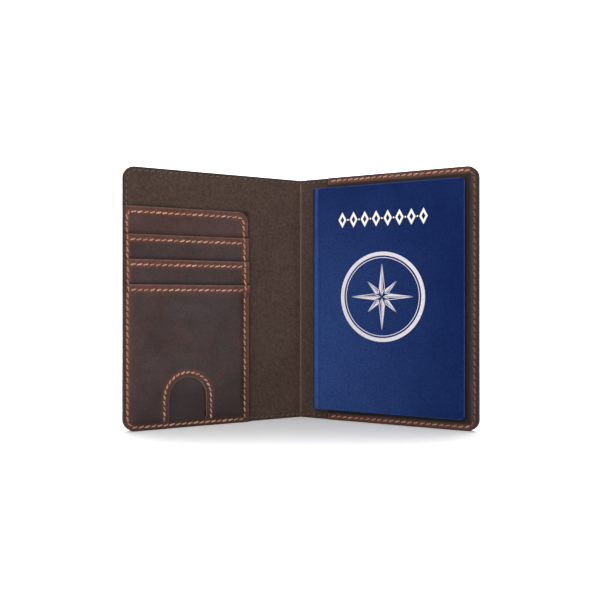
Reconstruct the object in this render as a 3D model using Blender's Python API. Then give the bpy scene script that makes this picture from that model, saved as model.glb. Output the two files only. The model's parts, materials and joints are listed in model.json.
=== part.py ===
"""Leather passport holder, standing open like a book on its bottom edges.

Frame: metres, +Z up. The fold of the cover is vertical and lies at the back (+Y). The two halves run
forward from it to the left (-X) and to the right (+X), and the holder opens towards -Y.
Each half is drawn in its own coordinates: u runs along the half from the fold to its outer edge, n
stands off the lining's face into the open holder, and z is the height.
"""
from collections import namedtuple
from math import cos, pi, radians, sin

import bmesh
import bpy
from mathutils import Vector

MM = 0.001

# Cover
HEIGHT = 137 * MM
HALF_WIDTH = 104.5 * MM
HALF_ANGLE = radians(29)  # each half is turned this far forward from the flat-open plane
CORNER_RADIUS = 6 * MM
OUTER_LEATHER = 1.3 * MM
STIFFENER = 0.4 * MM
STIFFENER_INSET = 3.5 * MM
LINING = 0.7 * MM

# Fold: two narrow strips, with the crease between them
SPINE_STRIP = 6.8 * MM
FOLD_GAP = 0.15 * MM  # each plate stops this far short of a fold's axis

# Card pockets on the left half
CARD_INNER_EDGE = 34 * MM
CARD_TOP = 116.5 * MM
CARD_CORNER_RADIUS = 5.5 * MM
SLOT_TOPS = (101.9 * MM, 88.9 * MM, 75.8 * MM)
CARD_BACKING = 0.8 * MM
CARD_POCKET = 0.7 * MM
FRONT_LEATHER = 0.9 * MM
POCKET_DEPTH = 80 * MM
POCKET_ARM = 15.9 * MM  # height of the full-width band at the top of each T-shaped pocket
POCKET_TAIL_INSET = 5.2 * MM
ARCH_CENTRE = 70.5 * MM
ARCH_RADIUS = 10.3 * MM
ARCH_SPRING = 16.4 * MM  # height at which the arch's straight sides end

# Passport pocket on the right half
POCKET_INNER_EDGE = 18.1 * MM
POCKET_LIFT = 0.7 * MM  # room under the leather for the passport's back cover

# Sewn rim of a pressed pocket: flat on what it is sewn to, then a ramp up to its raised middle
RIM = 3.4 * MM
RIM_RAMP = 1.4 * MM

# Passport, ID-3 size
PASSPORT_HEIGHT = 125 * MM
PASSPORT_WIDTH = 88 * MM
PASSPORT_START = 10.2 * MM
PASSPORT_COVER = 0.5 * MM
PASSPORT_SPINE_TOP = 4.4 * MM
PASSPORT_FORE_TOP = 4.0 * MM
PASSPORT_SPINE_RADIUS = 0.9 * MM
PASSPORT_CORNER_RADIUS = 1.2 * MM
PAGE_INSET = 0.6 * MM
PAGE_CORNER = 0.5 * MM
PAGES_LIFT_START = 13.5 * MM  # the pages rise from the back board to the pocket's leather here
PAGES_LIFT_END = 16.4 * MM
FOIL = 0.06 * MM
PRINT_CENTRE = 52.5 * MM  # the foil shapes' middle along the half
EMBLEM_RADIUS = 24.5 * MM
EMBLEM_HEIGHT = 69.5 * MM
EMBLEM_RING = 2.3 * MM
BLADE_WAIST = 0.26  # shares of the ring's inner radius
SHORT_BLADE = 0.62
BLADE_TIP = 0.06  # half the width of a long blade at the ring, in eighths of a turn
RING_STEPS = 48
TITLE_HEIGHT = 112.2 * MM
TITLE_WIDTH = 54 * MM
TITLE_RISE = 4.4 * MM
TITLE_RULE = 0.4 * MM
TITLE_LOZENGES = 8

# Sewing
THREAD_RADIUS = 0.25 * MM
SEAM_INSET = 2.0 * MM
SEAM_INSET_CARD = 1.7 * MM
SEAM_BELOW_SLOT = 2.8 * MM
SEAM_BELOW_CARD_TOP = 3.0 * MM
SEAM_ROUND_ARCH = 2.8 * MM
STEP_CLEARANCE = 0.4 * MM  # a thread crosses from layer to layer this far past the upper one's edge
STEP_LENGTH = 0.6 * MM
ROW_END_GAP = 0.75 * MM  # between the end of a row and the border seam
GROOVE_WIDTH = 0.8 * MM  # the outside seam lies in a groove, just under the leather's surface
GROOVE_DEPTH = 0.6 * MM

LAYER_GAP = 0.1 * MM
TRIM_GAP = 0.05 * MM
CUTTER_SPARE = 1 * MM
CUTTER_SPAN = (-5 * MM, 10 * MM)
ARC_STEPS = 6

# Heights of the layers above the lining's face
STIFFENER_BACK = -(LINING + LAYER_GAP + STIFFENER)
LEATHER_FACE = STIFFENER_BACK - LAYER_GAP
LEATHER_BACK = LEATHER_FACE - OUTER_LEATHER
BACKING_TOP = LAYER_GAP + CARD_BACKING
POCKET_1_TOP = BACKING_TOP + LAYER_GAP + CARD_POCKET
POCKET_2_TOP = POCKET_1_TOP + LAYER_GAP + CARD_POCKET
FRONT_RIM_BASE = BACKING_TOP + LAYER_GAP
FRONT_BASE = POCKET_2_TOP + LAYER_GAP
FRONT_TOP = FRONT_BASE + FRONT_LEATHER
PASSPORT_POCKET_TOP = POCKET_LIFT + FRONT_LEATHER

# The origin is the middle of the box round the whole holder, at its bottom
FRONT_REACH = HALF_WIDTH * sin(HALF_ANGLE) + FRONT_TOP * cos(HALF_ANGLE)
BACK_REACH = -LEATHER_BACK * cos(HALF_ANGLE) - FOLD_GAP * sin(HALF_ANGLE)
FOLD_Y = (FRONT_REACH - BACK_REACH) / 2

Frame = namedtuple("Frame", "empty side start")


def clear_scene():
    for item in list(bpy.data.objects):
        bpy.data.objects.remove(item, do_unlink=True)


def material(name, colour, roughness, metallic=0.0):
    made = bpy.data.materials.new(name)
    made.use_nodes = True
    shader = made.node_tree.nodes["Principled BSDF"]
    shader.inputs["Base Color"].default_value = (*colour, 1.0)
    shader.inputs["Roughness"].default_value = roughness
    shader.inputs["Metallic"].default_value = metallic
    return made


def half_frame(name, side, start):
    """An empty on one half's face, with its origin at distance start from the crease."""
    turn = -side * HALF_ANGLE
    empty = bpy.data.objects.new(name, None)
    empty.location = (side * start * cos(HALF_ANGLE), FOLD_Y - start * sin(HALF_ANGLE), 0)
    empty.rotation_euler = (0, 0, turn)
    bpy.context.collection.objects.link(empty)
    return Frame(empty, side, start)


def local(frame, u, n, z):
    return Vector((frame.side * (u - frame.start), -n, z))


def add_object(name, data, frame, finish):
    made = bpy.data.objects.new(name, data)
    made.parent = frame.empty
    data.materials.append(finish)
    bpy.context.collection.objects.link(made)
    return made


def add_mesh(name, bm, frame, finish):
    bmesh.ops.recalc_face_normals(bm, faces=bm.faces)
    mesh = bpy.data.meshes.new(name)
    bm.to_mesh(mesh)
    bm.free()
    return add_object(name, mesh, frame, finish)


def prism(name, frame, section, finish):
    """A closed solid between two matching loops of (u, n, z) points."""
    bm = bmesh.new()
    first, second = ([bm.verts.new(local(frame, *point)) for point in loop] for loop in section)
    bm.faces.new(first)
    bm.faces.new(second)
    for i in range(len(first)):
        bm.faces.new((first[i - 1], first[i], second[i], second[i - 1]))
    return add_mesh(name, bm, frame, finish)


def plate(name, frame, outline, low, high, finish):
    """A flat sheet with an outline of (u, z) points, from n = low to n = high."""
    section = ([(u, n, z) for u, z in outline] for n in (low, high))
    return prism(name, frame, section, finish)


def profile_bar(name, frame, profile, bottom, top, finish):
    """A bar with a cross-section of (u, n) points, from z = bottom to z = top."""
    section = ([(u, n, z) for u, n in profile] for z in (bottom, top))
    return prism(name, frame, section, finish)


def arc(centre, radius, start, end, steps=ARC_STEPS):
    """Points on a round arc, from start to end in quarter turns, both ends included."""
    angles = [(start + (end - start) * i / steps) * pi / 2 for i in range(steps + 1)]
    return [(centre[0] + radius * cos(a), centre[1] + radius * sin(a)) for a in angles]


def rounded_rectangle(u0, u1, z0, z1, inner=(0, 0), outer=(0, 0)):
    """A rectangle with a radius for each corner, as (bottom, top) at u0 and at u1."""
    corners = (
        (u1 - outer[0], z0 + outer[0], outer[0], 3),
        (u1 - outer[1], z1 - outer[1], outer[1], 0),
        (u0 + inner[1], z1 - inner[1], inner[1], 1),
        (u0 + inner[0], z0 + inner[0], inner[0], 2),
    )
    outline = []
    for u, z, radius, quarter in corners:
        outline += arc((u, z), radius, quarter, quarter + 1) if radius else [(u, z)]
    return outline


def boolean(target, cutter, operation):
    cutter.hide_render = True
    cutter.display_type = "WIRE"
    modifier = target.modifiers.new(operation.title(), "BOOLEAN")
    modifier.operation = operation
    modifier.solver = "EXACT"
    modifier.object = cutter


def pressed_sheet(name, frame, outline, u_lines, z_lines, base, thickness, finish):
    """A sheet pressed to the height base(u, z) at each crossing of its lines, cut to an outline."""
    bm = bmesh.new()
    rows = []
    for rise in (0, thickness):
        grid = []
        for u in u_lines:
            grid.append([bm.verts.new(local(frame, u, base(u, z) + rise, z)) for z in z_lines])
        rows.append(grid)
    last_u = len(u_lines) - 1
    last_z = len(z_lines) - 1
    for grid in rows:
        for i in range(last_u):
            for j in range(last_z):
                bm.faces.new((grid[i][j], grid[i + 1][j], grid[i + 1][j + 1], grid[i][j + 1]))
    low, high = rows
    for i in range(last_u):
        for j in (0, last_z):
            bm.faces.new((low[i][j], low[i + 1][j], high[i + 1][j], high[i][j]))
    for j in range(last_z):
        for i in (0, last_u):
            bm.faces.new((low[i][j], low[i][j + 1], high[i][j + 1], high[i][j]))
    sheet = add_mesh(name, bm, frame, finish)
    cutter = plate("cutter_" + name, frame, outline, *CUTTER_SPAN, finish)
    boolean(sheet, cutter, "INTERSECT")
    return sheet


def thread(name, frame, path, finish, closed=False):
    """A run of sewing thread through (u, n, z) points on the surface that it lies on."""
    curve = bpy.data.curves.new(name, "CURVE")
    curve.dimensions = "3D"
    curve.bevel_depth = THREAD_RADIUS
    curve.bevel_resolution = 1
    curve.use_fill_caps = True
    spline = curve.splines.new("POLY")
    spline.points.add(len(path) - 1)
    spline.use_cyclic_u = closed
    for point, place in zip(spline.points, path):
        point.co = (*local(frame, *place), 1)
    return add_object(name, curve, frame, finish)


def above(surface):
    """The height of a thread's middle when it lies on a surface at this height."""
    return surface + TRIM_GAP + THREAD_RADIUS


def seam_route(start, inset):
    """(u, z) points along the bottom, the outer edge and the top of a half, this far in from its edges."""
    edge = HALF_WIDTH - inset
    radius = CORNER_RADIUS - inset
    low = arc((edge - radius, inset + radius), radius, 3, 4)
    high = arc((edge - radius, HEIGHT - inset - radius), radius, 0, 1)
    return [(start, inset), *low, *high, (start, HEIGHT - inset)]


def cover_half(side_name, frame, finishes):
    """The outer leather with its seam's groove, the stiffener and the lining of one half."""
    start = SPINE_STRIP + FOLD_GAP
    corners = (CORNER_RADIUS, CORNER_RADIUS)
    outline = rounded_rectangle(start, HALF_WIDTH, 0, HEIGHT, outer=corners)
    inset = STIFFENER_INSET
    inner = rounded_rectangle(start + inset, HALF_WIDTH - inset, inset, HEIGHT - inset)
    leather = finishes["leather"]
    cover = plate("outer_cover_" + side_name, frame, outline, LEATHER_BACK, LEATHER_FACE, leather)
    groove_start = SPINE_STRIP + SEAM_INSET - GROOVE_WIDTH / 2
    groove = seam_route(groove_start, SEAM_INSET - GROOVE_WIDTH / 2)
    groove += reversed(seam_route(groove_start, SEAM_INSET + GROOVE_WIDTH / 2))
    floor = LEATHER_BACK + GROOVE_DEPTH
    cutter = plate("cutter_groove_" + side_name, frame, groove, LEATHER_BACK - CUTTER_SPARE, floor, leather)
    boolean(cover, cutter, "DIFFERENCE")
    plate("stiffener_" + side_name, frame, inner, STIFFENER_BACK, -LINING - LAYER_GAP, finishes["board"])
    plate("lining_" + side_name, frame, outline, -LINING, 0, finishes["suede"])


def cover_strip(side_name, frame, finishes):
    """The narrow strip of outer leather and lining between the crease and one half."""
    outline = rounded_rectangle(FOLD_GAP, SPINE_STRIP - FOLD_GAP, 0, HEIGHT)
    plate("outer_cover_spine_" + side_name, frame, outline, LEATHER_BACK, LEATHER_FACE, finishes["leather"])
    plate("lining_spine_" + side_name, frame, outline, -LINING, 0, finishes["suede"])


def outer_seam(side_name, frame, finish):
    """The perimeter seam on the outside of one half: along the top, the outer edge and the bottom."""
    n = LEATHER_BACK + GROOVE_DEPTH - TRIM_GAP - THREAD_RADIUS
    route = seam_route(SPINE_STRIP + SEAM_INSET, SEAM_INSET)
    thread("seam_outer_" + side_name, frame, [(u, n, z) for u, z in route], finish)


def lining_seams(side_name, frame, end, finish):
    """The short runs of the perimeter seam that show on the lining, at the top and at the bottom."""
    n = above(0)
    start = SPINE_STRIP + SEAM_INSET
    bottom = [(start, SEAM_INSET), (end, SEAM_INSET)]
    top = [(start, HEIGHT - SEAM_INSET), (end, HEIGHT - SEAM_INSET)]
    if side_name == "left":
        edge = HALF_WIDTH - SEAM_INSET
        radius = CORNER_RADIUS - SEAM_INSET
        corner = arc((edge - radius, HEIGHT - SEAM_INSET - radius), radius, 1, 0)
        top = [top[0], *corner, (edge, CARD_TOP + SEAM_INSET)]
    for level, route in (("top", top), ("bottom", bottom)):
        name = f"seam_lining_{side_name}_{level}"
        thread(name, frame, [(u, n, z) for u, z in route], finish)


def card_outline(top, top_radius=0):
    inner = (0, top_radius)
    return rounded_rectangle(CARD_INNER_EDGE, HALF_WIDTH, 0, top, inner=inner, outer=(CORNER_RADIUS, 0))


def card_pocket(number, frame, top, layer_top, finish):
    """A T-shaped pocket: a full-width band to be sewn in at both sides, and a narrower tail below it."""
    band = top - POCKET_ARM
    left = CARD_INNER_EDGE
    right = HALF_WIDTH
    tail_left = left + POCKET_TAIL_INSET
    tail_right = right - POCKET_TAIL_INSET
    foot = top - POCKET_DEPTH
    outline = [
        (tail_left, foot), (tail_right, foot), (tail_right, band), (right, band),
        (right, top), (left, top), (left, band), (tail_left, band),
    ]
    plate(f"card_pocket_{number}", frame, outline, layer_top - CARD_POCKET, layer_top, finish)


def front_pocket(frame, finish):
    """The lowest pocket, pressed down at its sewn rim, with a thumb arch at the bottom."""
    top = SLOT_TOPS[2]
    shoulder = SLOT_TOPS[1] - POCKET_ARM
    left = CARD_INNER_EDGE + RIM
    right = HALF_WIDTH - RIM
    spare = CUTTER_SPARE
    u_lines = (CARD_INNER_EDGE - spare, left, left + RIM_RAMP, right - RIM_RAMP, right, HALF_WIDTH + spare)
    raised = shoulder - LAYER_GAP - RIM_RAMP / 2
    z_lines = (-spare, RIM, RIM + RIM_RAMP, raised - 2 * RIM_RAMP, raised, top + spare)

    def base(u, z):
        in_middle = left + RIM_RAMP <= u <= right - RIM_RAMP and z >= RIM + RIM_RAMP
        return FRONT_BASE if in_middle or z >= raised else FRONT_RIM_BASE

    outline = card_outline(top)
    sheet = pressed_sheet("id_pocket_front", frame, outline, u_lines, z_lines, base, FRONT_LEATHER, finish)
    cutter = plate("cutter_thumb_arch", frame, arch_outline(0, -spare), *CUTTER_SPAN, finish)
    boolean(sheet, cutter, "DIFFERENCE")


def arch_outline(offset, foot):
    """The thumb arch, widened by offset, from its right foot over the top to its left foot."""
    radius = ARCH_RADIUS + offset
    curve = arc((ARCH_CENTRE, ARCH_SPRING), radius, 0, 2, 2 * ARC_STEPS)
    return [(ARCH_CENTRE + radius, foot), *curve, (ARCH_CENTRE - radius, foot)]


def card_column(u):
    """The border seam up one side of the card pockets, stepping down from layer to layer."""
    clear = STEP_CLEARANCE
    rim = above(FRONT_RIM_BASE + FRONT_LEATHER)
    shoulder = SLOT_TOPS[1] - POCKET_ARM - LAYER_GAP - RIM_RAMP / 2
    path = [(u, rim, shoulder - 2 * RIM_RAMP - clear), (u, above(FRONT_TOP), shoulder - clear)]
    tops = (FRONT_TOP, POCKET_2_TOP, POCKET_1_TOP, BACKING_TOP)
    for i, slot in enumerate(reversed(SLOT_TOPS)):
        path.append((u, above(tops[i]), slot + clear))
        path.append((u, above(tops[i + 1]), slot + clear + STEP_LENGTH))
    return path


def card_seams(frame, finish):
    """The closed border seam, a row under each slot, and the row round the thumb arch."""
    left = CARD_INNER_EDGE + SEAM_BELOW_SLOT
    right = HALF_WIDTH - SEAM_INSET_CARD
    foot = SEAM_INSET
    head = CARD_TOP - SEAM_BELOW_CARD_TOP
    rim = above(FRONT_RIM_BASE + FRONT_LEATHER)
    backing = above(BACKING_TOP)
    turn = CORNER_RADIUS - SEAM_INSET
    inner_turn = CARD_CORNER_RADIUS - SEAM_BELOW_SLOT
    arch_left = ARCH_CENTRE - ARCH_RADIUS + STEP_CLEARANCE
    arch_right = ARCH_CENTRE + ARCH_RADIUS - STEP_CLEARANCE
    path = [(left, rim, foot), (arch_left, rim, foot), (arch_left + STEP_LENGTH, backing, foot)]
    path += [(arch_right - STEP_LENGTH, backing, foot), (arch_right, rim, foot)]
    path += [(u, rim, z) for u, z in arc((right - turn, foot + turn), turn, 3, 4)]
    path += card_column(right)
    path += [(right, backing, head)]
    path += [(u, backing, z) for u, z in arc((left + inner_turn, head - inner_turn), inner_turn, 1, 2)]
    path += reversed(card_column(left))
    thread("seam_card_border", frame, path, finish, closed=True)

    for number, top in enumerate(SLOT_TOPS):
        surface = (POCKET_1_TOP, POCKET_2_TOP, FRONT_TOP)[number]
        ends = (left + ROW_END_GAP, right - ROW_END_GAP)
        row = [(u, above(surface), top - SEAM_BELOW_SLOT) for u in ends]
        thread(f"seam_slot_{number + 1}", frame, row, finish)

    foot_of_arch = RIM + RIM_RAMP + ROW_END_GAP
    route = arch_outline(SEAM_ROUND_ARCH, foot_of_arch)
    thread("seam_thumb_arch", frame, [(u, above(FRONT_TOP), z) for u, z in route], finish)


def card_panel(frame, finishes):
    backing = card_outline(CARD_TOP, CARD_CORNER_RADIUS)
    plate("card_backing", frame, backing, LAYER_GAP, BACKING_TOP, finishes["pocket"])
    card_pocket(1, frame, SLOT_TOPS[0], POCKET_1_TOP, finishes["pocket"])
    card_pocket(2, frame, SLOT_TOPS[1], POCKET_2_TOP, finishes["pocket"])
    front_pocket(frame, finishes["pocket"])
    card_seams(frame, finishes["thread"])


def passport_pocket(frame, finishes):
    """The full-height pocket that holds the passport's back cover, open towards the fold."""
    right = HALF_WIDTH - RIM
    spare = CUTTER_SPARE
    u_lines = (POCKET_INNER_EDGE - spare, right - RIM_RAMP, right, HALF_WIDTH + spare)
    low = RIM + RIM_RAMP
    high = HEIGHT - low
    z_lines = (-spare, RIM, low, high, HEIGHT - RIM, HEIGHT + spare)

    def base(u, z):
        return POCKET_LIFT if u <= right - RIM_RAMP and low <= z <= high else LAYER_GAP

    corners = (CORNER_RADIUS, CORNER_RADIUS)
    outline = rounded_rectangle(POCKET_INNER_EDGE, HALF_WIDTH, 0, HEIGHT, outer=corners)
    leather = finishes["pocket"]
    pressed_sheet("passport_pocket", frame, outline, u_lines, z_lines, base, FRONT_LEATHER, leather)

    n = above(LAYER_GAP + FRONT_LEATHER)
    route = seam_route(POCKET_INNER_EDGE + SEAM_INSET, SEAM_INSET)
    thread("seam_passport_pocket", frame, [(u, n, z) for u, z in route], finishes["thread"])


def passport_face(u):
    """The height of the passport's front face at a place along it."""
    share = (u - PASSPORT_START) / PASSPORT_WIDTH
    return PASSPORT_SPINE_TOP + share * (PASSPORT_FORE_TOP - PASSPORT_SPINE_TOP)


def sloped_plate(name, frame, outline, low, high, finish):
    """A flat sheet whose two heights are measured from the passport's sloping front face."""
    section = ([(u, passport_face(u) + rise, z) for u, z in outline] for rise in (low, high))
    return prism(name, frame, section, finish)


def passport_cover(frame, finish):
    """The wrapped cover as its three stiff parts: back board in the pocket, rounded spine, front board."""
    low = (HEIGHT - PASSPORT_HEIGHT) / 2
    high = low + PASSPORT_HEIGHT
    hinge = PASSPORT_START + PASSPORT_SPINE_RADIUS
    fore = PASSPORT_START + PASSPORT_WIDTH
    back = LAYER_GAP
    corners = (PASSPORT_CORNER_RADIUS, PASSPORT_CORNER_RADIUS)
    outline = rounded_rectangle(hinge + LAYER_GAP, fore, low, high, outer=corners)
    plate("passport_cover_back", frame, outline, back, back + PASSPORT_COVER, finish)
    sloped_plate("passport_cover_front", frame, outline, -PASSPORT_COVER, 0, finish)

    outer = PASSPORT_SPINE_RADIUS
    inner = outer - PASSPORT_COVER
    back_centre = (hinge, back + outer)
    front_centre = (hinge, PASSPORT_SPINE_TOP - outer)
    profile = [*arc(back_centre, outer, 3, 2), *arc(front_centre, outer, 2, 1)]
    profile += [*arc(front_centre, inner, 1, 2), *arc(back_centre, inner, 2, 3)]
    profile_bar("passport_spine", frame, profile, low, high, finish)


def passport_pages(frame, finish):
    """The page block: it lies on the pocket's leather, and drops behind it near the spine."""
    spine = PASSPORT_START + PAGE_INSET
    fore = PASSPORT_START + PASSPORT_WIDTH - PAGE_INSET
    back = LAYER_GAP + PASSPORT_COVER + LAYER_GAP
    lifted = PASSPORT_POCKET_TOP + LAYER_GAP
    under_cover = PASSPORT_COVER + LAYER_GAP
    profile = [
        (spine, back + PAGE_CORNER), (spine + PAGE_CORNER, back),
        (PAGES_LIFT_START, back), (PAGES_LIFT_END, lifted),
        (fore, lifted), (fore, passport_face(fore) - under_cover),
        (spine + PAGE_CORNER, passport_face(spine) - under_cover),
        (spine, passport_face(spine) - under_cover - PAGE_CORNER),
    ]
    low = (HEIGHT - PASSPORT_HEIGHT) / 2 + PAGE_INSET
    profile_bar("passport_pages", frame, profile, low, HEIGHT - low, finish)


def polar(radius, eighth_turns):
    """A point round the emblem's middle."""
    angle = eighth_turns * pi / 4
    return PRINT_CENTRE + radius * cos(angle), EMBLEM_HEIGHT + radius * sin(angle)


def passport_emblem(frame, finish):
    """A plain compass rose in a ring: four long blades that meet the ring, and four short ones."""
    rim = EMBLEM_RADIUS - EMBLEM_RING
    waist = BLADE_WAIST * rim
    circle = [polar(EMBLEM_RADIUS, 8 * i / RING_STEPS) for i in range(RING_STEPS)]
    disc = sloped_plate("passport_emblem", frame, circle, TRIM_GAP, TRIM_GAP + FOIL, finish)
    span = 2 - 2 * BLADE_TIP
    for quarter in range(0, 8, 2):
        opening = [polar(rim, quarter + BLADE_TIP + span * i / ARC_STEPS) for i in range(ARC_STEPS + 1)]
        opening += [polar(waist, quarter + 1.5), polar(SHORT_BLADE * rim, quarter + 1)]
        opening += [polar(waist, quarter + 0.5)]
        cutter = plate(f"cutter_emblem_{quarter}", frame, opening, *CUTTER_SPAN, finish)
        boolean(disc, cutter, "DIFFERENCE")


def passport_title(frame, finish):
    """A chain of lozenges on a thin rule, in place of the cover's title."""
    pitch = TITLE_WIDTH / TITLE_LOZENGES
    start = PRINT_CENTRE - TITLE_WIDTH / 2
    top = [(start, TITLE_HEIGHT + TITLE_RULE)]
    for i in range(TITLE_LOZENGES):
        top.append((start + (i + 0.5) * pitch, TITLE_HEIGHT + TITLE_RISE))
        top.append((start + (i + 1) * pitch, TITLE_HEIGHT + TITLE_RULE))
    bottom = [(u, 2 * TITLE_HEIGHT - z) for u, z in reversed(top)]
    sloped_plate("passport_title_band", frame, top + bottom, TRIM_GAP, TRIM_GAP + FOIL, finish)


def build():
    clear_scene()
    finishes = {
        "leather": material("dark_brown_leather", (0.062, 0.036, 0.028), 0.55),
        "pocket": material("brown_leather", (0.072, 0.046, 0.042), 0.5),
        "suede": material("brown_suede", (0.07, 0.043, 0.034), 0.9),
        "board": material("grey_board", (0.25, 0.22, 0.19), 0.8),
        "thread": material("tan_thread", (0.42, 0.2, 0.12), 0.6),
        "dark_thread": material("brown_thread", (0.11, 0.07, 0.055), 0.7),
        "passport": material("blue_passport_cover", (0.017, 0.038, 0.13), 0.55),
        "paper": material("white_paper", (0.78, 0.76, 0.7), 0.8),
        "silver": material("silver_foil", (0.68, 0.64, 0.68), 0.45, 0.3),
        "cream": material("cream_foil", (0.87, 0.83, 0.74), 0.45, 0.3),
    }
    right = half_frame("right_half", 1, 0)
    spine_right = half_frame("spine_right", 1, SPINE_STRIP)
    spine_left = half_frame("spine_left", -1, 0)
    left = half_frame("left_half", -1, SPINE_STRIP)
    passport = half_frame("passport", 1, PASSPORT_START)

    cover_half("right", right, finishes)
    cover_strip("right", spine_right, finishes)
    cover_strip("left", spine_left, finishes)
    cover_half("left", left, finishes)
    outer_seam("right", right, finishes["thread"])
    outer_seam("left", left, finishes["thread"])
    lining_seams("right", right, POCKET_INNER_EDGE - SEAM_INSET, finishes["dark_thread"])
    lining_seams("left", left, CARD_INNER_EDGE - SEAM_INSET, finishes["dark_thread"])
    card_panel(left, finishes)
    passport_pocket(right, finishes)
    passport_cover(passport, finishes["passport"])
    passport_pages(passport, finishes["paper"])
    passport_emblem(passport, finishes["silver"])
    passport_title(passport, finishes["cream"])


build()
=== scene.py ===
import json
import random
from math import atan2, ceil, cos, hypot, pi, radians, sin, sqrt, tan

import bmesh
import bpy
import numpy as np
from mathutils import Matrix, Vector, noise
from mathutils.geometry import delaunay_2d_cdt
from mathutils.kdtree import KDTree


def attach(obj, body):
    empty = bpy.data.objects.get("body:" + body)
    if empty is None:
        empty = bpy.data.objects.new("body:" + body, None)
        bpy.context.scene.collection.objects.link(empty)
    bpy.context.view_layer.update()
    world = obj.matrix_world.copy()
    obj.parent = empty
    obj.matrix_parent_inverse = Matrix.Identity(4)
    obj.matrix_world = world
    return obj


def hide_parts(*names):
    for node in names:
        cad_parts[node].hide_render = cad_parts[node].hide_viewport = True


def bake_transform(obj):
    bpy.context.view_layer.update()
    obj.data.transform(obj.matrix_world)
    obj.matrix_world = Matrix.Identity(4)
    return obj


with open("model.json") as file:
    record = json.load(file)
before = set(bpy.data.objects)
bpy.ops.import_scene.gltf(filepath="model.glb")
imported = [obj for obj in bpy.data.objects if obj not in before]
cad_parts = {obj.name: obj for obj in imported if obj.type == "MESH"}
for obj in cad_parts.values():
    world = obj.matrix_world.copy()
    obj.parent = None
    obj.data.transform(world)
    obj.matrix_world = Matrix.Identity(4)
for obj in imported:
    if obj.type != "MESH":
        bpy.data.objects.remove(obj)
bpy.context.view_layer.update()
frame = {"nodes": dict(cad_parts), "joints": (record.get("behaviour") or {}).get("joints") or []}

MM = 0.001
random.seed(7)

# ---------------------------------------------------------------- places taken from the frame

JOINT = {joint["name"]: Vector(joint["pos_m"]) for joint in frame["joints"] if "pos_m" in joint}
CREASE = JOINT["crease"]
FOLD = JOINT["right_fold"]
SPINE_STRIP = hypot(FOLD.x - CREASE.x, FOLD.y - CREASE.y)
HALF_ANGLE = atan2(CREASE.y - FOLD.y, FOLD.x - CREASE.x)
COS = cos(HALF_ANGLE)
SIN = sin(HALF_ANGLE)


def place(side, u, n, z):
    return Vector((side * (u * COS - n * SIN), CREASE.y - u * SIN - n * COS, z))


def reach(node, side):
    """Lowest and highest (u, n, z) of a CAD node, in the coordinates of its half."""
    points = np.array([v.co for v in frame["nodes"][node].data.vertices], float)
    x = side * points[:, 0]
    y = CREASE.y - points[:, 1]
    own = np.stack((x * COS + y * SIN, y * COS - x * SIN, points[:, 2]), 1)
    return own.min(0), own.max(0)


COVER_LOW, COVER_HIGH = reach("outer_cover_right", 1)
BACKING_LOW, BACKING_HIGH = reach("card_backing", -1)
POCKET_1_LOW, POCKET_1_HIGH = reach("card_pocket_1", -1)
POCKET_2_LOW, POCKET_2_HIGH = reach("card_pocket_2", -1)
FRONT_LOW, FRONT_HIGH = reach("id_pocket_front", -1)
HOLD_LOW, HOLD_HIGH = reach("passport_pocket", 1)
ARCH_LOW, ARCH_HIGH = reach("seam_thumb_arch", -1)
BOOK_LOW, _ = reach("passport_cover_back", 1)
_, BOOK_HIGH = reach("passport_cover_front", 1)
SPINE_LOW, SPINE_HIGH = reach("passport_spine", 1)
PAGES_LOW, PAGES_HIGH = reach("passport_pages", 1)
EMBLEM_LOW, EMBLEM_HIGH = reach("passport_emblem", 1)
TITLE_LOW, TITLE_HIGH = reach("passport_title_band", 1)

HEIGHT = COVER_HIGH[2]
HALF_WIDTH = COVER_HIGH[0]
LEATHER_BACK = COVER_LOW[1]
LEATHER_FACE = COVER_HIGH[1]
LINING_BACK = reach("lining_right", 1)[0][1]
CORNER = 6 * MM
CARD_CORNER = 5.5 * MM

# The sheets of the cover are cut halfway across a spine strip
CUT = SPINE_STRIP / 2
BEND_START = SPINE_STRIP + 1.8 * MM
BEND_END = SPINE_STRIP - 2.6 * MM

# Sewing
PITCH = 3.35 * MM
THREAD = 0.42 * MM
SLANT = 0.78 * MM
SEAM_INSET = 2.0 * MM
SEAM_INSET_CARD = 1.7 * MM
SEAM_BELOW_SLOT = 2.8 * MM
SEAM_BELOW_CARD_TOP = 3.0 * MM
SEAM_ROUND_ARCH = 2.8 * MM
ARCH_CENTRE = (ARCH_LOW[0] + ARCH_HIGH[0]) / 2
ARCH_SEAM_RADIUS = (ARCH_HIGH[0] - ARCH_LOW[0]) / 2 - 0.25 * MM
ARCH_RADIUS = ARCH_SEAM_RADIUS - SEAM_ROUND_ARCH
ARCH_SPRING = ARCH_HIGH[2] - 0.25 * MM - ARCH_SEAM_RADIUS


# ---------------------------------------------------------------- outlines and paths

def arc(centre, radius, start, end, steps):
    """Points on a round arc, from start to end in quarter turns."""
    angles = [(start + (end - start) * i / steps) * pi / 2 for i in range(steps + 1)]
    return [(centre[0] + radius * cos(a), centre[1] + radius * sin(a)) for a in angles]


def rounded_rectangle(u0, u1, z0, z1, radii):
    """Anticlockwise from the foot at u0. radii are for (u0 foot, u1 foot, u1 head, u0 head)."""
    corners = ((u0, z0, 1, 1, 2), (u1, z0, -1, 1, 3), (u1, z1, -1, -1, 0), (u0, z1, 1, -1, 1))
    outline = []
    for (u, z, du, dz, quarter), radius in zip(corners, radii):
        if radius:
            outline += arc((u + du * radius, z + dz * radius), radius, quarter, quarter + 1, 8)
        else:
            outline.append((u, z))
    return outline


def subdivide(path, step, closed):
    """The same path with a point at least every step."""
    ends = path[1:] + path[:1] if closed else path[1:]
    dense = []
    for (u0, z0), (u1, z1) in zip(path, ends):
        count = max(1, ceil(hypot(u1 - u0, z1 - z0) / step))
        dense += [(u0 + (u1 - u0) * i / count, z0 + (z1 - z0) * i / count) for i in range(count)]
    return dense if closed else dense + [path[-1]]


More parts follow.
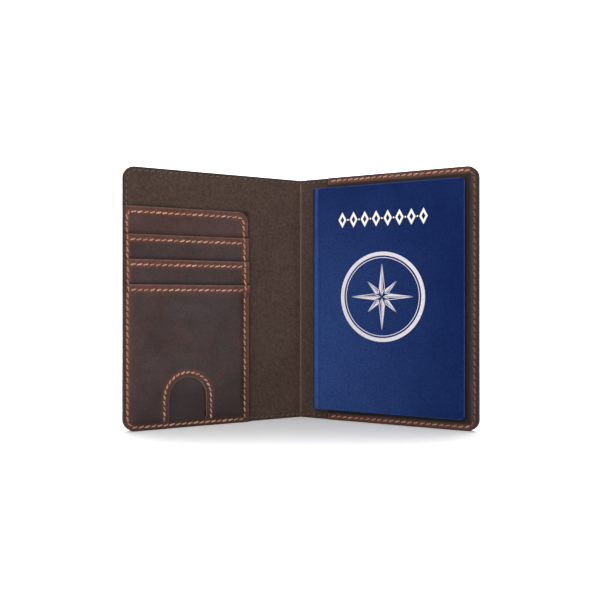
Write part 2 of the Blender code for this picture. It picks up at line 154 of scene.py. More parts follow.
def spaced(path, pitch, closed=False):
    """(point, direction) at even steps of about one pitch along a path."""
    points = np.array(path + path[:1] if closed else path, float)
    steps = np.diff(points, axis=0)
    lengths = np.hypot(steps[:, 0], steps[:, 1])
    walked = np.concatenate(([0], np.cumsum(lengths)))
    count = max(1, round(walked[-1] / pitch))
    found = []
    for i in range(count + 1):
        at = walked[-1] * i / count
        k = min(int(np.searchsorted(walked, at, "right")) - 1, len(lengths) - 1)
        spot = points[k] + steps[k] * (at - walked[k]) / lengths[k]
        found.append((spot, steps[k] / lengths[k]))
    return found


def distance_to_path(points, path, closed=False):
    """Distance from each of many points to a path."""
    route = np.array(path + path[:1] if closed else path, float)
    best = np.full(len(points), 1.0)
    for a, b in zip(route[:-1], route[1:]):
        run = b - a
        share = np.clip(((points - a) @ run) / max(run @ run, 1e-12), 0, 1)
        off = points - a - share[:, None] * run
        best = np.minimum(best, np.hypot(off[:, 0], off[:, 1]))
    return best


def distance_to_points(points, spots):
    best = np.full(len(points), 1.0)
    for spot in spots:
        off = points - spot
        best = np.minimum(best, np.hypot(off[:, 0], off[:, 1]))
    return best


def is_inside(points, outline):
    inside = np.zeros(len(points), bool)
    ends = outline[1:] + outline[:1]
    for (u0, z0), (u1, z1) in zip(outline, ends):
        if z0 == z1:
            continue
        crosses = (points[:, 1] > min(z0, z1)) & (points[:, 1] <= max(z0, z1))
        at = u0 + (points[:, 1] - z0) * (u1 - u0) / (z1 - z0)
        inside ^= crosses & (points[:, 0] < at)
    return inside


def bell(distance, width):
    return np.exp(-((distance / width) ** 2))


def smooth_step(low, high, value):
    share = np.clip((value - low) / (high - low), 0, 1)
    return share * share * (3 - 2 * share)


def waves(points, size, seed):
    """Smooth noise between about -1 and 1 over many points, with features of the given size."""
    return np.array([noise.noise(Vector((u / size, z / size, seed))) for u, z in points])


# ---------------------------------------------------------------- seams

class Seam:
    """A row of stitches: its path, and its needle holes at even steps."""

    def __init__(self, path, closed=False, pitch=PITCH):
        self.path = path
        self.closed = closed
        self.holes = spaced(self.path, pitch, closed)
        self.spots = [spot for spot, _ in self.holes]

    def distance(self, points):
        return distance_to_path(points, self.path, self.closed)


def perimeter(start, inset, radius=CORNER):
    """The path of the perimeter seam of one half, from the foot at start round to the head at start."""
    edge = HALF_WIDTH - inset
    turn = radius - inset
    low = arc((edge - turn, inset + turn), turn, 3, 4, 6)
    high = arc((edge - turn, HEIGHT - inset - turn), turn, 0, 1, 6)
    return [(start, inset), *low, *high, (start, HEIGHT - inset)]


CARD_LEFT = BACKING_LOW[0] + SEAM_BELOW_SLOT
CARD_RIGHT = HALF_WIDTH - SEAM_INSET_CARD
CARD_HEAD = BACKING_HIGH[2] - SEAM_BELOW_CARD_TOP


def card_border():
    foot_turn = CORNER - SEAM_INSET
    head_turn = CARD_CORNER - SEAM_BELOW_SLOT
    path = [(CARD_LEFT, SEAM_INSET)]
    path += arc((CARD_RIGHT - foot_turn, SEAM_INSET + foot_turn), foot_turn, 3, 4, 6)
    path += [(CARD_RIGHT, CARD_HEAD)]
    path += arc((CARD_LEFT + head_turn, CARD_HEAD - head_turn), head_turn, 1, 2, 5)
    return path


def arch_path(radius, foot):
    curve = arc((ARCH_CENTRE, ARCH_SPRING), radius, 0, 2, 24)
    return [(ARCH_CENTRE + radius, foot), *curve, (ARCH_CENTRE - radius, foot)]


def slot_row(top):
    gap = 1.2 * MM
    return [(CARD_RIGHT - gap, top - SEAM_BELOW_SLOT), (CARD_LEFT + gap, top - SEAM_BELOW_SLOT)]


BORDER_SEAM = Seam(card_border(), closed=True)
SLOT_SEAMS = [Seam(slot_row(high[2])) for high in (POCKET_1_HIGH, POCKET_2_HIGH, FRONT_HIGH)]
ARCH_SEAM = Seam(arch_path(ARCH_SEAM_RADIUS, SEAM_INSET + PITCH / 2), pitch=2.9 * MM)
HOLD_SEAM = Seam(perimeter(HOLD_LOW[0] + 1.6 * MM, SEAM_INSET), pitch=3.5 * MM)


# ---------------------------------------------------------------- sheets

RING_STEP = 0.8 * MM
DENSE_REACH = 2.2 * MM


def inset_directions(outline, cuts):
    """Unit moves inward from each point of an anticlockwise outline, with the corners mitred."""
    points = np.array(outline)
    forward = np.roll(points, -1, 0) - points
    forward /= np.hypot(forward[:, 0], forward[:, 1])[:, None]
    before = np.roll(forward, 1, 0)
    inward = np.stack((-(forward[:, 1] + before[:, 1]), forward[:, 0] + before[:, 0]), 1)
    length = np.hypot(inward[:, 0], inward[:, 1])
    inward = inward / length[:, None] * (2 / length)[:, None]
    for cut in cuts:
        on_cut = np.abs(points[:, 0] - cut) < 1e-7
        inward[on_cut, 0] = 0
        middle = on_cut & (points[:, 1] > points[:, 1].min()) & (points[:, 1] < points[:, 1].max())
        inward[middle, 1] = 0
        ends = on_cut & ~middle
        inward[ends, 1] = np.sign(inward[ends, 1])
    return inward


def grid_points(low, high, step):
    rows = []
    height = step * sqrt(3) / 2
    for j in range(int((high[1] - low[1]) / height) + 2):
        shift = step / 2 if j % 2 else 0
        us = np.arange(low[0] + shift, high[0] + step, step)
        rows.append(np.stack((us, np.full(len(us), low[1] + j * height)), 1))
    return np.concatenate(rows)


def hole_points(spots):
    """Rings of points round each needle hole, so that its dimple has a real shape."""
    found = []
    for spot in spots:
        found.append(spot)
        for radius, count in ((0.3 * MM, 6), (0.62 * MM, 8)):
            for i in range(count):
                angle = 2 * pi * (i + 0.5) / count
                found.append(spot + radius * np.array((cos(angle), sin(angle))))
    return np.array(found)


def thinned(points, kept, gap):
    """The points that lie at least gap from each kept one."""
    tree = KDTree(len(kept))
    for k, (u, z) in enumerate(kept.tolist()):
        tree.insert((u, z, 0), k)
    tree.balance()
    clear = [tree.find((u, z, 0))[2] >= gap for u, z in points.tolist()]
    return points[clear]


def nowhere(points):
    return np.zeros(len(points), bool)


def inner_points(outline, seams, fine, edge, coarse_step, fine_step):
    """Points inside an outline, close together near its edge, near its seams and where fine is true."""
    def nearest(points):
        return np.minimum.reduce([distance_to_path(points, outline, True)]
                                 + [seam.distance(points) for seam in seams])

    corners = np.array(outline)
    dense = grid_points(corners.min(0), corners.max(0), fine_step)
    sparse = grid_points(corners.min(0), corners.max(0), coarse_step)
    dense = dense[(nearest(dense) < DENSE_REACH) | fine(dense)]
    sparse = sparse[(nearest(sparse) > DENSE_REACH + 0.2 * MM) & ~fine(sparse)]
    inner = np.concatenate((dense, sparse))
    spots = [spot for seam in seams for spot in seam.spots]
    if spots:
        holes = hole_points(spots)
        inner = np.concatenate((holes, thinned(inner, holes, 0.42 * MM)))
    inner = inner[is_inside(inner, outline)]
    return inner[distance_to_path(inner, outline, True) > edge + 0.25 * fine_step]


def sheet(name, outline, spot, low, high, finish, seams=(), fine=nowhere, cuts=(), edge=0.3 * MM,
          coarse_step=1.7 * MM, fine_step=0.75 * MM, marks=None):
    """A closed sheet of leather or cloth with a rounded edge.

    outline: (u, z) points, anticlockwise. spot(u, n, z) gives a place in the frame. low and high give
    the heights of the two faces over an array of (u, z) points. The mesh is fine near the edge, near
    the seams and where fine(points) is true. marks(points) gives named values for the material.
    """
    ring = subdivide(outline, RING_STEP, True)
    inward = inset_directions(ring, cuts)
    ring = np.array(ring)
    last = ring + inward * edge
    inner = inner_points(outline, seams, fine, edge, coarse_step, fine_step)

    # Rings from the back face over the rounded edge to the front face
    steps = [(-1, 0), (-0.5, 0), (0, 0), (0, 1), (0.5, 1), (1, 1)]
    rings = []
    for turn, face in steps:
        angle = turn * pi / 2
        flat = ring + inward * edge * (1 - cos(angle))
        if face:
            height = high(flat) - edge * (1 - sin(angle))
        else:
            height = low(flat) + edge * (1 + sin(angle))
        rings.append((flat, height))
    count = len(ring)
    flat_points = np.concatenate([flat for flat, _ in rings] + [inner, inner])
    heights = np.concatenate([height for _, height in rings] + [low(inner), high(inner)])
    faces = []
    for k in range(len(steps) - 1):
        a = k * count
        b = a + count
        faces += [(a + i, a + (i + 1) % count, b + (i + 1) % count, b + i) for i in range(count)]
    points = [Vector(p) / MM for p in np.concatenate((last, inner))]
    found = delaunay_2d_cdt(points, [], [list(range(count))], 1, 1e-5)
    origin = [group[0] for group in found[3]]
    top_ring = (len(steps) - 1) * count
    low_inner = len(steps) * count
    high_inner = low_inner + len(inner)
    for face in found[2]:
        own = [origin[i] for i in face]
        faces.append([top_ring + i if i < count else high_inner + i - count for i in own])
        faces.append([i if i < count else low_inner + i - count for i in reversed(own)])
    vertices = [spot(u, n, z) for (u, z), n in zip(flat_points.tolist(), heights.tolist())]
    mesh = bpy.data.meshes.new(name)
    mesh.from_pydata(vertices, [], faces)
    if marks:
        for mark, values in marks(flat_points).items():
            attribute = mesh.attributes.new(mark, "FLOAT", "POINT")
            attribute.data.foreach_set("value", np.asarray(values, np.float32))
    return finished(name, mesh, finish)


def finished(name, mesh, finish, sharp=55):
    """Links a mesh as an object, smooth apart from its sharp edges, with its normals pointing out."""
    bm = bmesh.new()
    bm.from_mesh(mesh)
    bmesh.ops.recalc_face_normals(bm, faces=bm.faces)
    bm.to_mesh(mesh)
    bm.free()
    mesh.shade_smooth()
    mesh.set_sharp_from_angle(angle=radians(sharp))
    mesh.materials.append(finish)
    made = bpy.data.objects.new(name, mesh)
    bpy.context.scene.collection.objects.link(made)
    return made


def half(side):
    def spot(u, n, z):
        return place(side, u, n, z)
    return spot


# ---------------------------------------------------------------- bends over the crease

CREASE_RADIUS = 0.3 * MM
BEND_LENGTH = 2.4 * MM  # how much of the unrolled sheet's width stands for the bend itself
TANGENT = CREASE_RADIUS * tan(HALF_ANGLE)


def over_crease(s, n, z):
    """A place on a sheet that runs over the crease: s is the unrolled width, 0 at the crease."""
    if abs(s) > BEND_LENGTH / 2:
        return place(1 if s > 0 else -1, TANGENT + abs(s) - BEND_LENGTH / 2, n, z)
    turn = HALF_ANGLE * s / (BEND_LENGTH / 2)
    radius = CREASE_RADIUS - n
    centre_y = CREASE.y - CREASE_RADIUS / COS
    return Vector((radius * sin(turn), centre_y + radius * cos(turn), z))


MIDDLE_EDGE = CUT - TANGENT + BEND_LENGTH / 2


# ---------------------------------------------------------------- stitches

def stitch_row(name, seam, side, spot, top, finish, reverse=1, sink=0.3 * MM, lift=0.2 * MM,
               radius=THREAD, skip=None, tone=None):
    """Separate slanted stitches of two-ply thread, each from one needle hole to the next.

    skip(u, z) is true where a row is covered. tone(u, z) gives the lowest and highest tint there.
    """
    around = 10
    along = 8
    tuck = 0.12 * MM
    vertices = []
    faces = []
    tints = []
    holes = seam.holes[:-1] if seam.closed else seam.holes
    pairs = list(zip(holes, holes[1:] + holes[:1] if seam.closed else holes[1:]))
    spots = [(start, (start + end) / 2, end) for (start, _), (end, _) in pairs]
    levels = top(np.array(spots).reshape(-1, 2)).reshape(-1, 3).tolist()
    for (start, middle, end), (begin, base, close) in zip(spots, levels):
        if skip and skip(*middle):
            continue
        way = (end - start) / np.hypot(*(end - start))
        across = side * reverse * np.array((-way[1], way[0]))
        jitter = random.uniform(0.82, 1.18)
        shift = random.uniform(-0.06, 0.06) * MM
        first = start + way * tuck - across * (SLANT * jitter / 2 - shift)
        second = end - way * tuck + across * (SLANT * jitter / 2 + shift)
        thick = radius * random.uniform(0.92, 1.06)
        tint = random.uniform(*(tone(*middle) if tone else (0, 1)))
        turn_start = random.uniform(0, pi)
        index = len(vertices)
        for i in range(along + 1):
            t = i / along
            e = abs(2 * t - 1)
            centre = first + (second - first) * t
            level = base + ((begin if t < 0.5 else close) - base) * e * e
            rise = lift * (1 - e ** 3) - sink * e ** 5
            width = thick * (1 - 0.3 * e ** 4)
            for j in range(around):
                angle = 2 * pi * j / around
                ply = 1 + 0.17 * cos(2 * (angle - turn_start - 3.6 * t))
                out = width * ply * cos(angle)
                up = width * ply * sin(angle) * 0.92
                at = centre + across * out
                vertices.append(spot(at[0], reverse * (rise + up) + level, at[1]))
                tints.append(tint)
        for i in range(along):
            for j in range(around):
                a = index + i * around + j
                b = index + i * around + (j + 1) % around
                faces.append((a, b, b + around, a + around))
        faces.append([index + j for j in reversed(range(around))])
        faces.append([index + along * around + j for j in range(around)])
    mesh = bpy.data.meshes.new(name)
    mesh.from_pydata(vertices, [], faces)
    attribute = mesh.attributes.new("tint", "FLOAT", "POINT")
    attribute.data.foreach_set("value", np.array(tints, np.float32))
    return finished(name, mesh, finish, sharp=80)


# ---------------------------------------------------------------- materials

class Shader:
    """A material's node tree, with short calls for the nodes that the finishes share."""

    def __init__(self, name):
        self.material = bpy.data.materials.new(name)
        self.material.use_nodes = True
        self.tree = self.material.node_tree
        self.surface = self.tree.nodes["Principled BSDF"]
        self.coordinates = self.tree.nodes.new("ShaderNodeTexCoord").outputs["Object"]

    def put(self, socket, value):
        if hasattr(value, "is_output"):
            self.tree.links.new(value, socket)
        elif isinstance(value, tuple):
            socket.default_value = (*value, 1.0) if len(socket.default_value) == 4 else value
        else:
            socket.default_value = value

    def add(self, kind, values, **settings):
        """A new node with its settings. values are given by the inputs' names or places."""
        node = self.tree.nodes.new("ShaderNode" + kind)
        for name, setting in settings.items():
            setattr(node, name, setting)
        for key, value in values.items():
            self.put(node.inputs[key], value)
        return node

    def stretched(self, scale):
        return self.add("Mapping", {"Vector": self.coordinates, "Scale": scale}).outputs[0]

    def noise(self, scale, detail=3.0, roughness=0.5, distortion=0.0, vector=None):
        values = {"Vector": vector or self.coordinates, "Scale": scale, "Detail": detail,
                  "Roughness": roughness, "Distortion": distortion}
        return self.add("TexNoise", values).outputs["Fac"]

    def cells(self, scale, smoothness):
        values = {"Vector": self.coordinates, "Scale": scale, "Smoothness": smoothness}
        return self.add("TexVoronoi", values, feature="SMOOTH_F1").outputs["Distance"]

    def mark(self, name):
        return self.add("Attribute", {}, attribute_name=name).outputs["Fac"]

    def math(self, operation, a, b, clamp=False):
        return self.add("Math", {0: a, 1: b, 2: 0.0}, operation=operation, use_clamp=clamp).outputs[0]

    def span(self, value, low, high, to_low=0.0, to_high=1.0):
        return self.add("MapRange", {0: value, 1: low, 2: high, 3: to_low, 4: to_high}).outputs[0]

    def mix(self, share, a, b, blend="MIX"):
        return self.add("Mix", {0: share, 6: a, 7: b}, data_type="RGBA", blend_type=blend).outputs[2]

    def scaled(self, colour, factors):
        return self.mix(1.0, colour, factors, "MULTIPLY")

    def marked(self, name, colour, there, amount=1.0):
        """The colour, turning into the one given as there where a piece has this mark."""
        return self.mix(self.math("MULTIPLY", self.mark(name), amount, clamp=True), colour, there)

    def bump(self, height, distance, strength, onto=None):
        values = {"Strength": strength, "Distance": distance, "Height": height}
        if onto is not None:
            values["Normal"] = onto
        return self.add("Bump", values).outputs[0]

    def set(self, **values):
        for name, value in values.items():
            self.put(self.surface.inputs[name.replace("_", " ")], value)


def leather(name, dark, cool, warm, halo, rim, gloss):
    """Waxed pull-up leather: cloudy brown, with other colours beside its seams and on its cut edges."""
    s = Shader(name)
    clouds = s.noise(38, 4, 0.55, 0.4)
    colour = s.mix(s.span(clouds, 0.36, 0.64), dark, cool)
    patches = s.noise(85, 5, 0.6, 0.8)
    colour = s.mix(s.span(patches, 0.48, 0.74, 0.0, 0.75), colour, warm)
    streaks = s.noise(1, 4, 0.65, 0.3, s.stretched((260, 260, 900)))
    colour = s.mix(s.span(streaks, 0.4, 0.8, 0.0, 0.25), colour, warm)
    grain = s.noise(1300, 3, 0.65)
    colour = s.mix(s.span(grain, 0.3, 0.7), s.scaled(colour, (1.14,) * 3), s.scaled(colour, (0.7,) * 3))
    ragged = s.noise(520, 5, 0.75)
    colour = s.marked("halo", colour, halo, s.span(ragged, 0.32, 0.66, 0.3, 1.25))
    colour = s.marked("rim", colour, rim, s.span(ragged, 0.3, 0.65, 0.45, 1.1))
    colour = s.marked("shade", colour, (0.006, 0.0035, 0.003))
    normal = s.bump(s.noise(190, 5, 0.6, 1.0), 0.25 * MM, 0.35)
    normal = s.bump(s.cells(1050, 0.5), 0.09 * MM, 0.35, normal)
    normal = s.bump(grain, 0.05 * MM, 0.45, normal)
    s.set(Base_Color=colour, Roughness=s.span(patches, 0.3, 0.7, gloss - 0.04, gloss + 0.1),
          Normal=normal, Specular_IOR_Level=0.22)
    return s.material


def suede(name, dark, light, crease):
    """Brushed suede: matt, with a short nap, mottled, with a colour of its own along the crease."""
    s = Shader(name)
    wide = s.math("MULTIPLY", s.noise(45, 3, 0.5), 0.4)
    mottle = s.math("ADD", wide, s.math("MULTIPLY", s.noise(420, 4, 0.6), 0.6))
    colour = s.mix(s.span(mottle, 0.28, 0.72), dark, light)
    nap = s.noise(900, 6, 0.72)
    colour = s.mix(s.span(nap, 0.34, 0.66), s.scaled(colour, (1.1,) * 3), s.scaled(colour, (0.6, 0.58, 0.56)))
    fibres = s.noise(1, 3, 0.6, 0.6, s.stretched((700, 700, 2400)))
    colour = s.mix(s.span(fibres, 0.55, 0.8, 0.0, 0.35), colour, light)
    colour = s.marked("rim", colour, crease)
    colour = s.marked("shade", colour, (0.008, 0.005, 0.004))
    s.set(Base_Color=colour, Roughness=0.92, Specular_IOR_Level=0.2,
          Normal=s.bump(fibres, 0.06 * MM, 0.4, s.bump(nap, 0.12 * MM, 0.5)),
          Sheen_Weight=0.12, Sheen_Roughness=0.5, Sheen_Tint=(0.75, 0.6, 0.52))
    return s.material


def thread(name, dark, light):
    """Two-ply waxed thread with fine fibres. Each stitch has its own tint; tints below 0 are painted shade,
    deeper brown.
    """
    s = Shader(name)
    fibres = s.noise(2600, 4, 0.6)
    wax = s.math("MULTIPLY", s.noise(240, 3, 0.6), 0.55)
    tint = s.math("ADD", s.math("MULTIPLY", s.mark("tint"), 0.55), wax)
    colour = s.mix(s.span(tint, 0.2, 0.85), dark, light)
    # Painted shade: a stitch with a tint below 0 turns deeper brown.
    colour = s.mix(s.span(s.mark("tint"), 0.0, -1.0), colour, (0.085, 0.037, 0.021))
    colour = s.mix(s.span(fibres, 0.35, 0.7, 0.0, 0.5), colour, s.scaled(colour, (0.6, 0.55, 0.5)))
    s.set(Base_Color=colour, Roughness=0.62, Normal=s.bump(fibres, 0.05 * MM, 0.6),
          Sheen_Weight=0.15, Sheen_Roughness=0.4)
    return s.material


def booklet_cover(name, deep, lit_navy, highlight_navy):
    """Coated cloth in navy: a fine embossed grain, with painted light that makes it paler towards the spine
    and the foot, painted highlights along its hinge and edges, and painted shade.
    """
    s = Shader(name)
    clouds = s.span(s.noise(30, 4, 0.6), 0.3, 0.7, -0.08, 0.08)
    # Painted light: the cover turns to the lit navy towards the spine and the foot.
    colour = s.mix(s.math("ADD", s.mark("fade"), clouds, clamp=True), deep, lit_navy)
    speckle = s.span(s.noise(1050, 2, 0.8), 0.3, 0.72)
    colour = s.mix(speckle, s.scaled(colour, (0.72, 0.76, 0.8)), s.scaled(colour, (1.55, 1.35, 1.25)))
    # Painted highlights along the hinge and along the cover's edges.
    colour = s.marked("rim", colour, highlight_navy, s.span(s.noise(300, 4, 0.6), 0.3, 0.7, 0.5, 1.1))
    colour = s.marked("shade", colour, (0.004, 0.008, 0.035))
    normal = s.bump(s.cells(1500, 0.4), 0.08 * MM, 0.4)
    s.set(Base_Color=colour, Roughness=0.55, Specular_IOR_Level=0.06,
          Normal=s.bump(s.noise(2300, 3, 0.6), 0.03 * MM, 0.4, normal))
    return s.material


def foil(name, dark, light, metallic):
    """Stamped foil: even, with faint uneven wear and a fine grain."""
    s = Shader(name)
    wear = s.noise(700, 4, 0.6)
    s.set(Base_Color=s.mix(s.span(wear, 0.3, 0.75), dark, light), Metallic=metallic,
          Roughness=s.span(wear, 0.3, 0.7, 0.5, 0.65), Normal=s.bump(s.cells(1500, 0.4), 0.04 * MM, 0.25))
    return s.material


def paper(name, dark, light):
    s = Shader(name)
    fibres = s.noise(1, 4, 0.6, 0.2, s.stretched((900, 900, 260)))
    s.set(Base_Color=s.mix(s.span(fibres, 0.3, 0.7), dark, light), Roughness=0.85,
          Normal=s.bump(s.noise(2400, 3, 0.6), 0.03 * MM, 0.4))
    return s.material


def plain(name, colour, roughness):
    s = Shader(name)
    lighter = tuple(min(1, c * 1.02) for c in colour)
    s.set(Base_Color=s.mix(s.span(s.noise(3, 2, 0.5), 0.3, 0.7), colour, lighter), Roughness=roughness)
    return s.material


OUTER = leather("outer_pull_up_leather", (0.042, 0.022, 0.017), (0.052, 0.034, 0.029),
                (0.075, 0.037, 0.026), (0.13, 0.05, 0.028), (0.03, 0.014, 0.01), 0.56)
POCKET = leather("pocket_pull_up_leather", (0.034, 0.018, 0.0165), (0.05, 0.0345, 0.0365),
                 (0.072, 0.036, 0.029), (0.2, 0.062, 0.034), (0.22, 0.12, 0.085), 0.54)
SUEDE = suede("brown_suede", (0.052, 0.03, 0.023), (0.087, 0.056, 0.044), (0.21, 0.14, 0.12))
TAN = thread("tan_waxed_thread", (0.3, 0.12, 0.07), (0.62, 0.36, 0.26))
BROWN = thread("brown_bobbin_thread", (0.07, 0.042, 0.033), (0.12, 0.08, 0.065))
NAVY = booklet_cover("navy_booklet_cover", (0.0015, 0.011, 0.07), (0.02, 0.05, 0.175), (0.05, 0.088, 0.25))
SILVER = foil("silver_foil", (0.6, 0.56, 0.6), (0.72, 0.68, 0.72), 0.15)
CREAM = foil("cream_foil", (0.82, 0.77, 0.66), (0.92, 0.88, 0.8), 0.1)
PAPER = paper("page_paper", (0.55, 0.53, 0.48), (0.74, 0.72, 0.67))
BOARD = paper("stiffening_board", (0.2, 0.17, 0.14), (0.28, 0.25, 0.21))


# ---------------------------------------------------------------- the cover

RIM_PINCH = 0.5 * MM
OUTER_EDGE = 0.45 * MM
LINING_EDGE = 0.22 * MM
LINING_INSET = SEAM_INSET - 0.2 * MM
LINING_THREAD = 0.26 * MM
LINING_LIFT = 0.1 * MM
OUTSIDE_SEAM = Seam(perimeter(CUT, SEAM_INSET))
# The perimeter seam where it comes through the lining. The card panel and the pocket hide most of it.
LINING_SEAM = Seam(perimeter(CUT, LINING_INSET))


def level(value):
    def heights(points):
        return np.full(len(points), float(value))
    return heights


def border(points):
    """How far each point of a half is from its outer edge, foot and head, whichever is nearest."""
    u, z = points.T
    return np.minimum.reduce([HALF_WIDTH - u, z, HEIGHT - z])


def strip_border(points):
    """How far each point of the strip over the crease is from its foot or head."""
    return np.minimum(points[:, 1], HEIGHT - points[:, 1])


def cover_outline():
    return rounded_rectangle(CUT, HALF_WIDTH, 0, HEIGHT, (0, CORNER, CORNER, 0))


def strip_outline():
    return rounded_rectangle(-MIDDLE_EDGE, MIDDLE_EDGE, 0, HEIGHT, (0, 0, 0, 0))


def strip_seams(inset):
    """The seams along the strip's head and foot, all their holes, and the distance from them."""
    seams = [Seam([(-MIDDLE_EDGE, z), (MIDDLE_EDGE, z)]) for z in (HEIGHT - inset, inset)]

    def distance(points):
        return np.abs(strip_border(points) - inset)
    return seams, seams[0].spots + seams[1].spots, distance


def near_fold(points):
    return points[:, 0] < BEND_START + 1 * MM


def everywhere(points):
    return np.ones(len(points), bool)


def bend(piece, side):
    """Bakes the transform of a piece of one half's side into its mesh. The places where it would turn over
    the fold to its spine strip are worked out but not used.
    """
    place(side, BEND_START, 0, 0)
    place(side, BEND_END, 0, 0)
    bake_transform(piece)


def bend_middle(piece):
    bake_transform(piece)


def outer_shape(edge_distance, seam_distance, spots, crease=0.0):
    """Back, face and marks of a sheet of the outer leather.

    Its back has a stitching groove with a dimple at each hole. At the rim, where no board lies inside it,
    the leather closes up to the lining. crease is how strongly the crease is marked on it.
    """
    def pinch(points):
        return RIM_PINCH * (1 - smooth_step(1.5 * MM, 4.5 * MM, edge_distance(points)))

    def face(points):
        return LEATHER_FACE + pinch(points)

    def back(points):
        rise = 0.18 * MM * bell(seam_distance(points), 0.6 * MM)
        rise += 0.22 * MM * bell(distance_to_points(points, spots), 0.4 * MM)
        return LEATHER_BACK + 0.7 * pinch(points) + rise

    def marks(points):
        halo = np.maximum(0.7 * bell(seam_distance(points), 1.1 * MM), crease * bell(points[:, 0], 1.5 * MM))
        return {
            "halo": halo,
            "rim": 0.9 * bell(edge_distance(points), 0.5 * MM),
            "shade": 0.8 * bell(distance_to_points(points, spots), 0.35 * MM),
        }
    return back, face, marks


def build_outer():
    back, face, marks = outer_shape(border, OUTSIDE_SEAM.distance, OUTSIDE_SEAM.spots)
    for side, name in ((-1, "left"), (1, "right")):
        piece = sheet(f"outer_leather_{name}", cover_outline(), half(side), back, face, OUTER,
                      seams=[OUTSIDE_SEAM], fine=near_fold, cuts=[CUT], edge=OUTER_EDGE, marks=marks)
        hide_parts(f"outer_cover_{name}")
        bend(piece, side)

    seams, spots, distance = strip_seams(SEAM_INSET)
    strip_back, strip_face, strip_marks = outer_shape(strip_border, distance, spots, crease=0.35)
    piece = sheet("outer_leather_middle", strip_outline(), over_crease, strip_back, strip_face, OUTER,
                  seams=seams, fine=everywhere, cuts=[-MIDDLE_EDGE, MIDDLE_EDGE],
                  edge=OUTER_EDGE, fine_step=0.5 * MM, marks=strip_marks)
    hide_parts("outer_cover_spine_left", "outer_cover_spine_right")
    bend_middle(piece)

    def groove_bottom(points):
        return back(points) - 0.05 * MM

    for side, name in ((-1, "left"), (1, "right")):
        row = stitch_row(f"outside_stitches_{name}", OUTSIDE_SEAM, side, half(side), groove_bottom, TAN,
                         reverse=-1)
        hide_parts(f"seam_outer_{name}")
        bend(row, side)
    for name, seam in zip(("head", "foot"), seams):
        row = stitch_row(f"outside_stitches_middle_{name}", seam, 1, over_crease, strip_back, TAN, reverse=-1)
        bend_middle(row)


def lining_shape(edge_distance, seam_distance, spots, beside=None, crease=0.0):
    """Face and marks of a sheet of the lining: dimples at its holes, painted shade in its holes and along its
    seam, and painted darker at its rim.

    beside(points) gives a painted shadow. crease is how strongly the crease is marked on it.
    """
    def top(points):
        holes = bell(distance_to_points(points, spots), 0.35 * MM)
        return -0.1 * MM * bell(seam_distance(points), 0.5 * MM) - 0.1 * MM * holes

    def marks(points):
        holes = bell(distance_to_points(points, spots), 0.35 * MM)
        shade = 0.55 * holes + 0.12 * bell(seam_distance(points), 0.5 * MM)
        shade = np.maximum(shade, 0.8 * bell(edge_distance(points), 0.5 * MM))
        if beside:
            shade = np.maximum(shade, beside(points))
        return {"shade": shade, "rim": crease * bell(points[:, 0], 1.1 * MM)}
    return top, marks


# Painted shadow on the lining beside the card panel's inner edge and above its head.
def shadow_beside_cards(points):
    u, z = points.T
    outside = np.hypot(np.maximum(BACKING_LOW[0] - u, 0), np.maximum(z - BACKING_HIGH[2], 0))
    return 0.75 * bell(outside, 0.8 * MM)


# Painted shadow on the lining beside the inner edge of the passport's pocket.
def shadow_beside_pocket(points):
    return 0.5 * bell(np.maximum(HOLD_LOW[0] - points[:, 0], 0), 0.7 * MM)


def under_cards(u, z):
    return u > BACKING_LOW[0] - 0.5 * MM and z < BACKING_HIGH[2] + 0.5 * MM


def under_pocket(u, z):
    return u > HOLD_LOW[0] - 0.5 * MM


def build_lining():
    for side, name, beside in ((-1, "left", shadow_beside_cards), (1, "right", shadow_beside_pocket)):
        top, marks = lining_shape(border, LINING_SEAM.distance, LINING_SEAM.spots, beside)
        piece = sheet(f"suede_{name}", cover_outline(), half(side), level(LINING_BACK), top, SUEDE,
                      seams=[LINING_SEAM], fine=near_fold, cuts=[CUT], edge=LINING_EDGE, marks=marks)
        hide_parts(f"lining_{name}")
        bend(piece, side)

    seams, spots, distance = strip_seams(LINING_INSET)
    strip_top, strip_marks = lining_shape(strip_border, distance, spots, crease=1.0)
    piece = sheet("suede_middle", strip_outline(), over_crease, level(LINING_BACK), strip_top, SUEDE,
                  seams=seams, fine=everywhere, cuts=[-MIDDLE_EDGE, MIDDLE_EDGE],
                  edge=LINING_EDGE, fine_step=0.5 * MM, marks=strip_marks)
    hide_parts("lining_spine_left", "lining_spine_right")
    bend_middle(piece)

    for side, name, hidden in ((-1, "left", under_cards), (1, "right", under_pocket)):
        row = stitch_row(f"lining_stitches_{name}", LINING_SEAM, side, half(side), top, BROWN,
                         skip=hidden, radius=LINING_THREAD, lift=LINING_LIFT)
        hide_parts(f"seam_lining_{name}_top", f"seam_lining_{name}_bottom")
        bend(row, side)
    for name, seam in zip(("head", "foot"), seams):
        row = stitch_row(f"lining_stitches_middle_{name}", seam, 1, over_crease, strip_top, BROWN,
                         radius=LINING_THREAD, lift=LINING_LIFT)
        bend_middle(row)


# ---------------------------------------------------------------- the card panel

LAYER_GAP = 0.1 * MM
BAND_DEPTH = 15.9 * MM
TAIL_INSET = 5.2 * MM
TONGUE_GAP = 0.12 * MM
TONGUE_FOOT = 0.15 * MM
ARM_RAMP = (19.5 * MM, 16 * MM)
SEWN_RAMP = (3.0 * MM, 5.6 * MM)
FRONT_THICKNESS = FRONT_HIGH[1] - POCKET_2_HIGH[1] - LAYER_GAP
FRONT_SEAMS = [BORDER_SEAM, SLOT_SEAMS[2], ARCH_SEAM]
PANEL_LIFT = 0.26 * MM
OUTER_COLUMN = 4 * MM


def seam_dimples(points, seams, depth=0.16 * MM):
    total = np.zeros(len(points))
    for seam in seams:
        total += depth * bell(seam.distance(points), 0.75 * MM)
        total += 1.1 * depth * bell(distance_to_points(points, seam.spots), 0.38 * MM)
    return total


